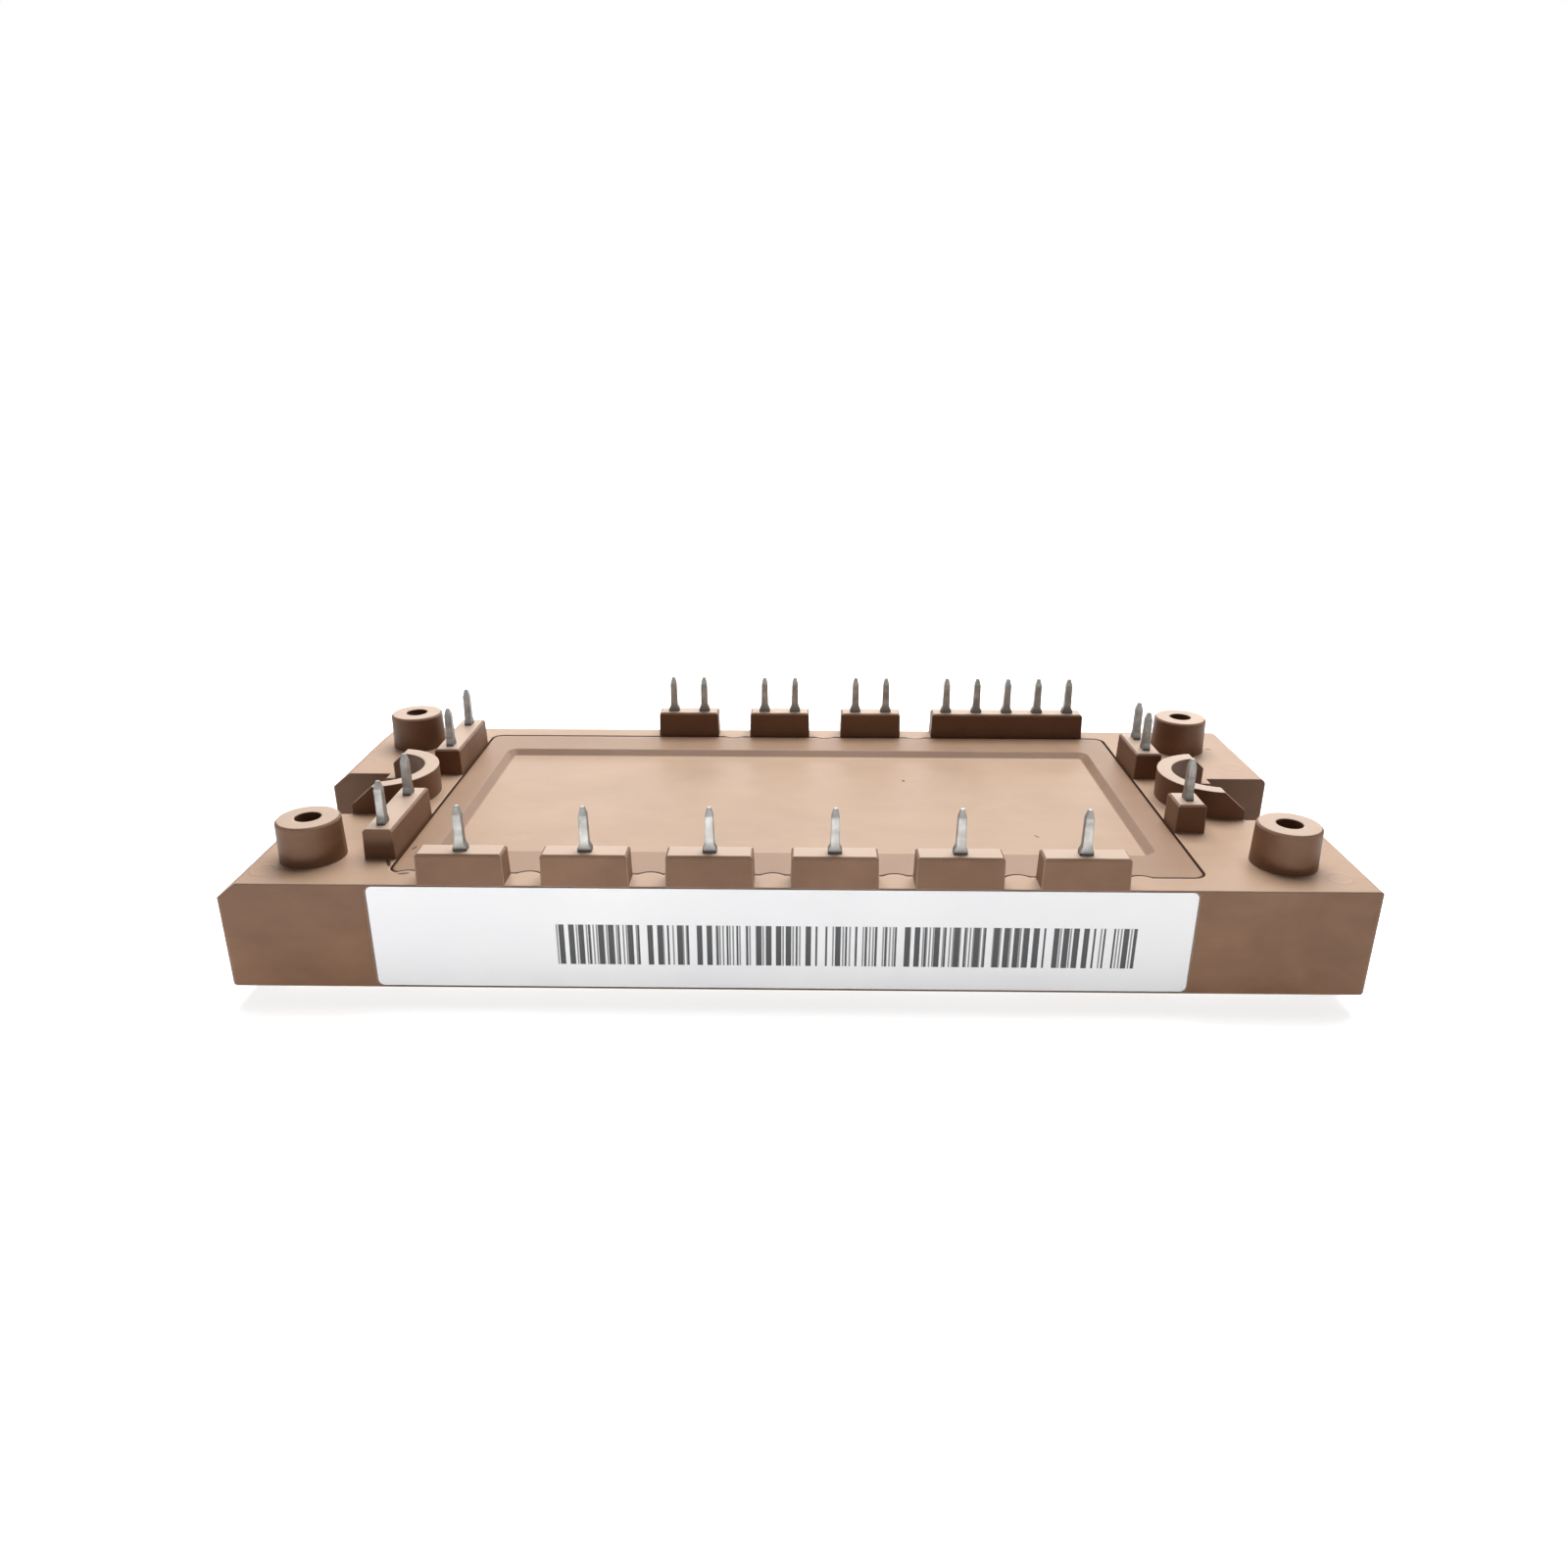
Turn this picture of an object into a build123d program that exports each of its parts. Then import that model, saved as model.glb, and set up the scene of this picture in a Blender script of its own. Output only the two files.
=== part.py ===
from build123d import *
import os

# Power module with 24 solder pins, for screwing to a heat sink. Millimetres.
# X runs along the module, Y across it and Z up. The origin is in the middle of
# the base plate's underside. The label is on the front wall, which faces -Y.

# Overall sizes of the moulded case
CASE_LENGTH = 107.5
CASE_WIDTH = 45.0
CASE_TOP = 12.9
BOARD_SEAT = 17.0
END_BEVEL_RUN = 2.1
END_BEVEL_DROP = 1.65
END_TOP_ROUND = 0.7
END_FOOT_ROUND = 0.5
CASE_CORNER = 0.6

# Base plate, let into the underside of the case and standing proud of it
PLATE_END_INSET = 1.75
PLATE_SIDE_INSET = 3.3
PLATE_THICKNESS = 3.0
PLATE_CORNER = 2.5
PLATE_EDGE_BREAK = 0.3
PLATE_SEAT_DEPTH = 0.9
PLATE_GAP = 0.2
GLUE_THICKNESS = 0.15
GLUE_INSET = 0.6

# Mounting at the ends: screw notch, slot between the wings and horseshoe guard.
# Insets are from the end of the case.
MOUNT_INSET = 7.25
NOTCH_RADIUS = 2.25
SLOT_WIDTH = 12.0
GUARD_WALL = 1.5
GUARD_CENTRE_INSET = 8.35
GUARD_END_INSET = 6.85
GUARD_BACK_END_INSET = 7.9
GUARD_SLOPE_RUN = 2.4
GUARD_SLOPE_DROP = 2.1

# Board bosses with pilot holes for self-tapping screws
BOSS_END_INSET = 7.05
BOSS_SIDE_INSET = 6.1
BOSS_FOOT_RADIUS = 3.1
BOSS_TOP_RADIUS = 3.0
BOSS_EDGE = 0.2
PILOT_RADIUS = 1.25
PILOT_DEPTH = 9.0

# Pins, on a 3.81 grid
PIN_GRID = 3.81
PIN_GRID_SHIFT = -0.28
PIN_ROW_INSET = 1.3
PIN_REACH = 3.3
PIN_WIDTH = 0.85
PIN_THICKNESS = 0.8
PIN_POINT_LENGTH = 0.8
PIN_POINT_WIDTH = 0.75
PIN_TIP_WIDTH = 0.35
SHOULDER_WIDTH = 1.3
SHOULDER_HEIGHT = 0.3
SHOULDER_TAPER = 0.5
BACK_PIN_STEPS = (-4, -3, -1, 0, 2, 3, 5, 6, 7, 8, 9)
FRONT_PIN_STEPS = (-8, -5, -2, 1, 4, 7)
LEFT_PIN_STEPS = (4, 2, -2, -4)
RIGHT_PIN_STEPS = (-2, 2, 3)

# Raised blocks that the pins come out of. They and the guards stay under the board.
BOARD_CLEARANCE = 1.05
BLOCK_DRAFT = 1.5
BLOCK_END = 1.85
FRONT_BLOCK_LENGTH = 8.1
SIDE_BLOCK_WIDTH = 3.0
BLOCK_EDGE = 0.2

# Lid and its seat, inside the rim of the case
LID_SIDE_INSET = 2.5
LID_END_INSET = 15.25
LID_THICKNESS = 2.0
LID_GAP = 0.2
LID_CORNER = 1.2
LID_EDGE_BREAK = 0.15
RECESS_SIDE_INSET = 5.1
RECESS_END_INSET = 3.2
RECESS_DEPTH = 0.6
RECESS_SLOPE = 56.0
RECESS_CORNER = 1.2
TAB_RADIUS = 1.5
TAB_REACH = 0.5

# Space inside the case: the ledge that carries the lid, the room under it, the
# ledge for the pin feet and the well round the substrate
LID_LEDGE_SIDE = 2.6
LID_LEDGE_END = 1.7
FOOT_LEDGE = 2.4
FOOT_LEDGE_TOP = 6.0
FOOT_MARGIN = 0.9

# Label on the front wall
LABEL_LENGTH = 76.4
LABEL_EDGE = 0.2
LABEL_THICKNESS = 0.1
LABEL_CENTRE_X = -1.4
LABEL_CORNER = 0.6
LABEL_GAP = 0.1

# Substrate stack, its copper areas and the chips on them
SUBSTRATE_GAP = 1.0
CERAMIC_THICKNESS = 0.4
COPPER_THICKNESS = 0.3
COPPER_MARGIN = 0.5
TRACK_GAP = 1.0
RECTIFIER_COLUMN = 5.4
BRAKE_COLUMN = 7.0
MINUS_ROW = 3.4
GATE_PAD_LENGTH = 2.4
GATE_PAD_WIDTH = 0.8
GATE_PAD_GAP = 0.4
BASE_SOLDER_THICKNESS = 0.15
CHIP_SOLDER_THICKNESS = 0.1
CHIP_SOLDER_MARGIN = 0.1
CHIP_CLEARANCE = 0.3
IGBT_SIZE = 3.6
DIODE_SIZE = 2.2
RECTIFIER_SIZE = 3.0
CHIP_THICKNESS = 0.25
THERMISTOR_LENGTH = 2.0
THERMISTOR_WIDTH = 1.25
THERMISTOR_HEIGHT = 0.8
THERMISTOR_PAD = 0.9
POWER_WIRE = 0.3
POWER_WIRE_PITCH = 1.4
GATE_WIRE = 0.15
GATE_WIRE_INSET = 0.6
WIRE_FOOT = 0.5
WIRE_RISE = 0.9
GEL_CLEARANCE = 0.1
GEL_UNDER_LID = 1.3

# Levels that follow from the sizes above
CASE_BOTTOM = PLATE_THICKNESS - PLATE_SEAT_DEPTH
GLUE_TOP = PLATE_THICKNESS + GLUE_THICKNESS
LID_BOTTOM = CASE_TOP - LID_THICKNESS
BLOCK_TOP = BOARD_SEAT - BOARD_CLEARANCE
PIN_TIP = BOARD_SEAT + PIN_REACH
BACK_COPPER_BOTTOM = PLATE_THICKNESS + BASE_SOLDER_THICKNESS
CERAMIC_BOTTOM = BACK_COPPER_BOTTOM + COPPER_THICKNESS
CERAMIC_TOP = CERAMIC_BOTTOM + CERAMIC_THICKNESS
TRACK_TOP = CERAMIC_TOP + COPPER_THICKNESS
CHIP_BOTTOM = TRACK_TOP + CHIP_SOLDER_THICKNESS
CHIP_TOP = CHIP_BOTTOM + CHIP_THICKNESS
FOOT_TOP = FOOT_LEDGE_TOP + PIN_THICKNESS
GEL_BOTTOM = FOOT_TOP + WIRE_RISE + POWER_WIRE + GEL_CLEARANCE
GEL_TOP = LID_BOTTOM - GEL_UNDER_LID

# Plan sizes that follow from them
END_X = CASE_LENGTH / 2
WALL_Y = CASE_WIDTH / 2
PLATE_LENGTH = CASE_LENGTH - 2 * PLATE_END_INSET
PLATE_WIDTH = CASE_WIDTH - 2 * PLATE_SIDE_INSET
MOUNT_X = END_X - MOUNT_INSET
GUARD_CENTRE = END_X - GUARD_CENTRE_INSET
GUARD_END = END_X - GUARD_END_INSET
GUARD_BACK_END = END_X - GUARD_BACK_END_INSET
POCKET_RADIUS = SLOT_WIDTH / 2 - GUARD_WALL
BOSS_X = END_X - BOSS_END_INSET
BOSS_Y = WALL_Y - BOSS_SIDE_INSET
LID_SEAT_LENGTH = CASE_LENGTH - 2 * LID_END_INSET
LID_SEAT_WIDTH = CASE_WIDTH - 2 * LID_SIDE_INSET
RECESS_LENGTH = LID_SEAT_LENGTH - 2 * RECESS_END_INSET
RECESS_WIDTH = LID_SEAT_WIDTH - 2 * RECESS_SIDE_INSET
ROOM_LENGTH = LID_SEAT_LENGTH - 2 * LID_LEDGE_END
ROOM_WIDTH = LID_SEAT_WIDTH - 2 * LID_LEDGE_SIDE
WELL_LENGTH = ROOM_LENGTH - 2 * FOOT_LEDGE
WELL_WIDTH = ROOM_WIDTH - 2 * FOOT_LEDGE
CERAMIC_LENGTH = WELL_LENGTH - 2 * SUBSTRATE_GAP
CERAMIC_WIDTH = WELL_WIDTH - 2 * SUBSTRATE_GAP
PIN_ROW_Y = WALL_Y - PIN_ROW_INSET
PIN_SIDE_X = (LID_SEAT_LENGTH + SIDE_BLOCK_WIDTH) / 2
ROW_BLOCK_Y = WALL_Y - LID_SIDE_INSET / 2
LABEL_HEIGHT = CASE_TOP - CASE_BOTTOM - 2 * LABEL_EDGE
LABEL_Z = (CASE_TOP + CASE_BOTTOM) / 2

os.makedirs("parts", exist_ok=True)


def save(piece, label):
    piece.part.label = label
    export_step(piece.part, f"parts/{label}.step")


def grid_x(step):
    return PIN_GRID_SHIFT + PIN_GRID * step


# Base plate: nickel-plated copper, stamped, with an open notch at each end for
# the mounting screw. Its underside is the face that meets the heat sink.
with BuildPart() as base_plate:
    with BuildSketch():
        RectangleRounded(PLATE_LENGTH, PLATE_WIDTH, PLATE_CORNER)
        for end in (-1, 1):
            with Locations((end * MOUNT_X, 0)):
                Circle(NOTCH_RADIUS, mode=Mode.SUBTRACT)
            notch_depth = PLATE_LENGTH / 2 - MOUNT_X
            with Locations((end * (PLATE_LENGTH - notch_depth) / 2, 0)):
                Rectangle(notch_depth, 2 * NOTCH_RADIUS, mode=Mode.SUBTRACT)
    extrude(amount=PLATE_THICKNESS)
    chamfer(base_plate.faces().sort_by(Axis.Z)[0].edges(), PLATE_EDGE_BREAK)
save(base_plate, "base_plate")


# Pins: blades cut from tinned copper strip and bent once. The blade stands up
# through its block, widens to a shoulder on it and narrows to a point. The foot
# runs inwards along its ledge, where the bond wire lands. This one stands on the
# origin with its foot towards +X.
def make_pin(foot_reach):
    half = PIN_THICKNESS / 2
    point_start = PIN_TIP - PIN_POINT_LENGTH
    with BuildPart() as pin:
        with BuildSketch(Plane.XZ):
            with BuildLine():
                Polyline(
                    (-half, FOOT_LEDGE_TOP),
                    (foot_reach, FOOT_LEDGE_TOP),
                    (foot_reach, FOOT_TOP),
                    (half, FOOT_TOP),
                    (half, BLOCK_TOP),
                    (PIN_POINT_WIDTH / 2, point_start),
                    (PIN_TIP_WIDTH / 2, PIN_TIP),
                    (-PIN_TIP_WIDTH / 2, PIN_TIP),
                    (-PIN_POINT_WIDTH / 2, point_start),
                    (-half, BLOCK_TOP),
                    close=True,
                )
            make_face()
        extrude(amount=SHOULDER_WIDTH, both=True)
        with BuildSketch(Plane.YZ):
            with BuildLine() as edge:
                Polyline(
                    (0, FOOT_LEDGE_TOP),
                    (PIN_WIDTH / 2, FOOT_LEDGE_TOP),
                    (PIN_WIDTH / 2, BLOCK_TOP),
                    (SHOULDER_WIDTH / 2, BLOCK_TOP),
                    (SHOULDER_WIDTH / 2, BLOCK_TOP + SHOULDER_HEIGHT),
                    (PIN_WIDTH / 2, BLOCK_TOP + SHOULDER_HEIGHT + SHOULDER_TAPER),
                    (PIN_POINT_WIDTH / 2, point_start),
                    (PIN_TIP_WIDTH / 2, PIN_TIP),
                    (0, PIN_TIP),
                )
                mirror(edge.line, about=Plane.YZ)
            make_face()
        extrude(amount=2 * foot_reach, both=True, mode=Mode.INTERSECT)
    return pin


# Places of the pins, numbered round the module from the left end of the back
# row: x, y and the direction of the foot
row_reach = PIN_ROW_Y - WELL_WIDTH / 2 - FOOT_MARGIN
side_reach = PIN_SIDE_X - WELL_LENGTH / 2 - FOOT_MARGIN
back_places = [(grid_x(step), PIN_ROW_Y, (0, -1)) for step in BACK_PIN_STEPS]
right_places = [(PIN_SIDE_X, PIN_GRID * step, (-1, 0)) for step in reversed(RIGHT_PIN_STEPS)]
front_places = [(grid_x(step), -PIN_ROW_Y, (0, 1)) for step in reversed(FRONT_PIN_STEPS)]
left_places = [(-PIN_SIDE_X, PIN_GRID * step, (1, 0)) for step in reversed(LEFT_PIN_STEPS)]
pin_places = back_places + right_places + front_places + left_places
row_pin = make_pin(row_reach)
side_pin = make_pin(side_reach)
pins = []
for number, (x, y, inwards) in enumerate(pin_places, start=1):
    with BuildPart() as pin:
        with Locations(Plane(origin=(x, y, 0), x_dir=(*inwards, 0)).location):
            add(row_pin.part if abs(y) == PIN_ROW_Y else side_pin.part)
    save(pin, f"terminal_pin_{number:02d}")
    pins.append(pin.part)


# Runs of neighbouring pins that share a block, as the first and last step
def runs(steps):
    found = []
    for step in steps:
        if found and step - found[-1][1] == 1:
            found[-1][1] = step
        else:
            found.append([step, step])
    return found


back_runs = runs(BACK_PIN_STEPS)
back_blocks = []
for first, last in back_runs:
    length = grid_x(last) - grid_x(first) + 2 * BLOCK_END
    back_blocks.append(((grid_x(first) + grid_x(last)) / 2, length))
front_blocks = [(grid_x(step), FRONT_BLOCK_LENGTH) for step in FRONT_PIN_STEPS]
side_blocks = []
for end, steps in ((-1, LEFT_PIN_STEPS), (1, RIGHT_PIN_STEPS)):
    for half_steps in ([s for s in steps if s > 0], [s for s in steps if s < 0]):
        low = PIN_GRID * min(half_steps) - BLOCK_END
        high = PIN_GRID * max(half_steps) + BLOCK_END
        side_blocks.append((end, (low + high) / 2, high - low))

# Half-round tabs of the case rim, one in each gap between the blocks of a row
# and one past each end of the front row. The lid's edge runs round them.
front_pitch = grid_x(FRONT_PIN_STEPS[1]) - grid_x(FRONT_PIN_STEPS[0])
tab_y = LID_SEAT_WIDTH / 2 - TAB_REACH + TAB_RADIUS
tab_places = [(x - front_pitch / 2, -tab_y) for x, length in front_blocks]
tab_places.append((front_blocks[-1][0] + front_pitch / 2, -tab_y))
for one, other in zip(back_runs[:-1], back_runs[1:]):
    tab_places.append(((grid_x(one[1]) + grid_x(other[0])) / 2, tab_y))

# Pin blocks, drafted and with a broken top edge. They are part of the frame.
with BuildPart() as pin_blocks:
    with BuildSketch(Plane.XY.offset(CASE_TOP)):
        for side, blocks in ((-1, front_blocks), (1, back_blocks)):
            for x, length in blocks:
                with Locations((x, side * ROW_BLOCK_Y)):
                    Rectangle(length, LID_SIDE_INSET)
        for end, y, length in side_blocks:
            with Locations((end * PIN_SIDE_X, y)):
                Rectangle(SIDE_BLOCK_WIDTH, length)
    extrude(amount=BLOCK_TOP - CASE_TOP, taper=BLOCK_DRAFT)
    chamfer(pin_blocks.faces().group_by(Axis.Z)[-1].edges(), BLOCK_EDGE)

# One board boss: a drafted pillar with a broken top edge, turned about its axis
with BuildPart() as boss:
    with BuildSketch(Plane.XZ):
        with BuildLine():
            Polyline(
                (0, CASE_TOP),
                (BOSS_FOOT_RADIUS, CASE_TOP),
                (BOSS_TOP_RADIUS, BOARD_SEAT - BOSS_EDGE),
                (BOSS_TOP_RADIUS - BOSS_EDGE, BOARD_SEAT),
                (0, BOARD_SEAT),
                close=True,
            )
        make_face()
    revolve(axis=Axis.Z)

# Horseshoe guard of the right-hand mounting screw, before its pocket is cut. Its
# rim slopes down towards the end of the case, and its back leg is the shorter one.
with BuildPart() as guard:
    with BuildSketch(Plane.XY.offset(CASE_TOP)):
        with Locations((GUARD_CENTRE, 0)):
            Circle(SLOT_WIDTH / 2)
    extrude(amount=BLOCK_TOP - CASE_TOP)
    with BuildSketch(Plane.XZ):
        with BuildLine():
            Polyline(
                (GUARD_CENTRE - SLOT_WIDTH, CASE_TOP),
                (GUARD_END, CASE_TOP),
                (GUARD_END, BLOCK_TOP - GUARD_SLOPE_DROP),
                (GUARD_END - GUARD_SLOPE_RUN, BLOCK_TOP),
                (GUARD_CENTRE - SLOT_WIDTH, BLOCK_TOP),
                close=True,
            )
        make_face()
    extrude(amount=SLOT_WIDTH, both=True, mode=Mode.INTERSECT)
    with BuildSketch(Plane.XY.offset(CASE_TOP)):
        with Locations(((GUARD_BACK_END + GUARD_END) / 2, SLOT_WIDTH / 4)):
            Rectangle(GUARD_END - GUARD_BACK_END, SLOT_WIDTH / 2)
    extrude(amount=BLOCK_TOP - CASE_TOP, mode=Mode.SUBTRACT)

# Case frame: moulded from glass-filled PPS in one shot round the pins. It is
# open above and below: the lid closes the top and the base plate the bottom.
with BuildPart() as case_frame:
    with BuildSketch(Plane.XZ) as end_view:
        with BuildLine():
            Polyline(
                (-END_X, CASE_BOTTOM),
                (END_X, CASE_BOTTOM),
                (END_X, CASE_TOP),
                (END_BEVEL_RUN - END_X, CASE_TOP),
                (-END_X, CASE_TOP - END_BEVEL_DROP),
                close=True,
            )
        make_face()
        fillet(end_view.vertices().group_by(Axis.X)[-1].sort_by(Axis.Y)[-1], END_TOP_ROUND)
        fillet(end_view.vertices().group_by(Axis.Y)[0], END_FOOT_ROUND)
    extrude(amount=WALL_Y, both=True)
    with BuildSketch(Plane.XY.offset(CASE_BOTTOM)):
        RectangleRounded(CASE_LENGTH, CASE_WIDTH, CASE_CORNER)
    extrude(amount=CASE_TOP - CASE_BOTTOM, mode=Mode.INTERSECT)

    # What stands on its top: blocks, bosses and guards
    add(pin_blocks.part)
    with GridLocations(2 * BOSS_X, 2 * BOSS_Y, 2, 2):
        add(boss.part)
    add(guard.part)
    add(guard.part.mirror(Plane.YZ))

    # Pilot holes in the bosses
    with Locations(Plane.XY.offset(BOARD_SEAT)):
        with GridLocations(2 * BOSS_X, 2 * BOSS_Y, 2, 2):
            Hole(PILOT_RADIUS, PILOT_DEPTH)

    # Screw pockets and the slots that lead out of them to the ends
    with BuildSketch(Plane.XY.offset(CASE_BOTTOM)):
        for end in (-1, 1):
            with Locations((end * GUARD_CENTRE, 0)):
                Circle(POCKET_RADIUS)
            with Locations((end * (GUARD_CENTRE + GUARD_END) / 2, 0)):
                Rectangle(GUARD_END - GUARD_CENTRE, 2 * POCKET_RADIUS)
            with Locations((end * (GUARD_END + END_X) / 2, 0)):
                Rectangle(GUARD_END_INSET, SLOT_WIDTH)
    extrude(amount=BLOCK_TOP - CASE_BOTTOM, mode=Mode.SUBTRACT)

    # Seat of the lid, less the tabs that stay standing in its edge
    with BuildSketch(Plane.XY.offset(LID_BOTTOM)):
        RectangleRounded(LID_SEAT_LENGTH, LID_SEAT_WIDTH, LID_CORNER + LID_GAP)
        with Locations(*tab_places):
            Circle(TAB_RADIUS, mode=Mode.SUBTRACT)
    extrude(amount=CASE_TOP - LID_BOTTOM, mode=Mode.SUBTRACT)

    # Room over the ledge, well round the substrate and rebate of the base plate
    with BuildSketch(Plane.XY.offset(FOOT_LEDGE_TOP)):
        Rectangle(ROOM_LENGTH, ROOM_WIDTH)
    extrude(amount=LID_BOTTOM - FOOT_LEDGE_TOP, mode=Mode.SUBTRACT)
    with BuildSketch(Plane.XY.offset(GLUE_TOP)):
        Rectangle(WELL_LENGTH, WELL_WIDTH)
    extrude(amount=FOOT_LEDGE_TOP - GLUE_TOP, mode=Mode.SUBTRACT)
    with BuildSketch(Plane.XY.offset(CASE_BOTTOM)):
        RectangleRounded(PLATE_LENGTH + 2 * PLATE_GAP, PLATE_WIDTH + 2 * PLATE_GAP, PLATE_CORNER + PLATE_GAP)
    extrude(amount=GLUE_TOP - CASE_BOTTOM, mode=Mode.SUBTRACT)

    # Shallow seat of the label in the front wall
    with BuildSketch(Plane.XZ.offset(WALL_Y)):
        with Locations((LABEL_CENTRE_X, LABEL_Z)):
            RectangleRounded(LABEL_LENGTH + 2 * LABEL_GAP, LABEL_HEIGHT + 2 * LABEL_GAP, LABEL_CORNER + LABEL_GAP)
    extrude(amount=-LABEL_THICKNESS, mode=Mode.SUBTRACT)

    # The plastic closes round every pin
    add(pins, mode=Mode.SUBTRACT)
save(case_frame, "case_frame")

# Lid: moulded cover that fills its seat, level with the case. Its middle is a
# shallow recess with a sloping border.
with BuildPart() as lid:
    with BuildSketch(Plane.XY.offset(LID_BOTTOM)):
        RectangleRounded(LID_SEAT_LENGTH - 2 * LID_GAP, LID_SEAT_WIDTH - 2 * LID_GAP, LID_CORNER)
    extrude(amount=LID_THICKNESS)
    chamfer(lid.faces().sort_by(Axis.Z)[-1].edges(), LID_EDGE_BREAK)
    with BuildSketch(Plane(origin=(0, 0, CASE_TOP), z_dir=(0, 0, -1))):
        RectangleRounded(RECESS_LENGTH, RECESS_WIDTH, RECESS_CORNER)
    extrude(amount=RECESS_DEPTH, taper=RECESS_SLOPE, mode=Mode.SUBTRACT)
    with BuildSketch(Plane.XY.offset(LID_BOTTOM)):
        with Locations(*tab_places):
            Circle(TAB_RADIUS + LID_GAP)
    extrude(amount=LID_THICKNESS, mode=Mode.SUBTRACT)
save(lid, "lid")

# Label: white polyester with an adhesive back, on the front wall
with BuildPart() as label:
    with BuildSketch(Plane.XZ.offset(WALL_Y)):
        with Locations((LABEL_CENTRE_X, LABEL_Z)):
            RectangleRounded(LABEL_LENGTH, LABEL_HEIGHT, LABEL_CORNER)
    extrude(amount=-LABEL_THICKNESS)
save(label, "label")

# Bead of silicone glue between the base plate and the case, round the well
with BuildPart() as frame_adhesive:
    with BuildSketch(Plane.XY.offset(PLATE_THICKNESS)):
        outer_length = 2 * (GUARD_CENTRE - POCKET_RADIUS - GLUE_INSET)
        Rectangle(outer_length, PLATE_WIDTH - 2 * GLUE_INSET)
        Rectangle(WELL_LENGTH + 2 * GLUE_INSET, WELL_WIDTH + 2 * GLUE_INSET, mode=Mode.SUBTRACT)
    extrude(amount=GLUE_THICKNESS)
save(frame_adhesive, "frame_adhesive")

# Substrate: ceramic with copper on both faces, soldered down on the plate
copper_length = CERAMIC_LENGTH - 2 * COPPER_MARGIN
copper_width = CERAMIC_WIDTH - 2 * COPPER_MARGIN
stack = (
    ("base_solder", copper_length, copper_width, PLATE_THICKNESS, BASE_SOLDER_THICKNESS),
    ("substrate_back_copper", copper_length, copper_width, BACK_COPPER_BOTTOM, COPPER_THICKNESS),
    ("substrate_ceramic", CERAMIC_LENGTH, CERAMIC_WIDTH, CERAMIC_BOTTOM, CERAMIC_THICKNESS),
)
for name, length, width, level, thickness in stack:
    with BuildPart() as layer:
        with BuildSketch(Plane.XY.offset(level)):
            Rectangle(length, width)
        extrude(amount=thickness)
    save(layer, name)

# Columns of the circuit from left to right: three input phases, the brake and
# three output phases. Rows from front to back: minus, phases and plus.
inverter_column = (copper_length - 3 * RECTIFIER_COLUMN - BRAKE_COLUMN) / 3
widths = [RECTIFIER_COLUMN] * 3 + [BRAKE_COLUMN] + [inverter_column] * 3
column_x = [sum(widths[:place]) + width / 2 - copper_length / 2 for place, width in enumerate(widths)]
phase_row = (copper_width - MINUS_ROW) / 2
minus_y = (MINUS_ROW - copper_width) / 2
phase_y = minus_y + (MINUS_ROW + phase_row) / 2
plus_y = phase_y + phase_row
rectifier_x = column_x[:3]
brake_x = column_x[3]
inverter_x = column_x[4:]

# Chips: a square die on a solder pad. A gate island stands at the left edge of
# each column, its switch next to it and the diode near the right edge, clear of
# the strip where the terminal wires land.
island_width = GATE_PAD_WIDTH + 2 * GATE_PAD_GAP
chip_edge = TRACK_GAP / 2 + CHIP_CLEARANCE + CHIP_SOLDER_MARGIN
gate_reach = IGBT_SIZE / 2 + CHIP_SOLDER_MARGIN + CHIP_CLEARANCE + island_width / 2
igbt_shift = (island_width + IGBT_SIZE - inverter_column) / 2 + chip_edge + island_width / 2
brake_shift = (island_width + IGBT_SIZE - BRAKE_COLUMN) / 2 + chip_edge + island_width / 2
diode_shift = (inverter_column - DIODE_SIZE) / 2 - chip_edge - WIRE_FOOT - CHIP_SOLDER_MARGIN
igbts = [(f"inverter_igbt_{n}", x + igbt_shift, plus_y) for n, x in enumerate(inverter_x, 1)]
igbts += [(f"inverter_igbt_{n}", x + igbt_shift, phase_y) for n, x in enumerate(inverter_x, 4)]
igbts.append(("brake_igbt", brake_x + brake_shift, phase_y))
diodes = [(f"freewheel_diode_{n}", x + diode_shift, plus_y) for n, x in enumerate(inverter_x, 1)]
diodes += [(f"freewheel_diode_{n}", x + diode_shift, phase_y) for n, x in enumerate(inverter_x, 4)]
diodes.append(("brake_diode", brake_x, plus_y))
rectifiers = [(f"rectifier_diode_{n}", x, plus_y) for n, x in enumerate(rectifier_x, 1)]
rectifiers += [(f"rectifier_diode_{n}", x, phase_y) for n, x in enumerate(rectifier_x, 4)]
chips = [(name, x, y, IGBT_SIZE) for name, x, y in igbts]
chips += [(name, x, y, DIODE_SIZE) for name, x, y in diodes]
chips += [(name, x, y, RECTIFIER_SIZE) for name, x, y in rectifiers]

# Copper areas on the ceramic's upper face, as left end, right end, row and its
# depth. The input side is apart from the brake and the output side, and the
# temperature sensor stands in the gap of the minus row.
track_end = (copper_length - TRACK_GAP) / 2
split_x = 3 * RECTIFIER_COLUMN - copper_length / 2
sensor_room = THERMISTOR_LENGTH / 2 + TRACK_GAP
areas = [
    (-track_end, split_x - sensor_room, minus_y, MINUS_ROW),
    (split_x + sensor_room, track_end, minus_y, MINUS_ROW),
    (-track_end, split_x - TRACK_GAP / 2, plus_y, phase_row),
    (split_x + TRACK_GAP / 2, track_end, plus_y, phase_row),
]
for x, width in zip(column_x, widths):
    half_track = (width - TRACK_GAP) / 2
    areas.append((x - half_track, x + half_track, phase_y, phase_row))
for side in (-1, 1):
    pad_x = split_x + side * (THERMISTOR_LENGTH - THERMISTOR_PAD) / 2
    areas.append((pad_x - THERMISTOR_PAD / 2, pad_x + THERMISTOR_PAD / 2, minus_y, MINUS_ROW))
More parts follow.
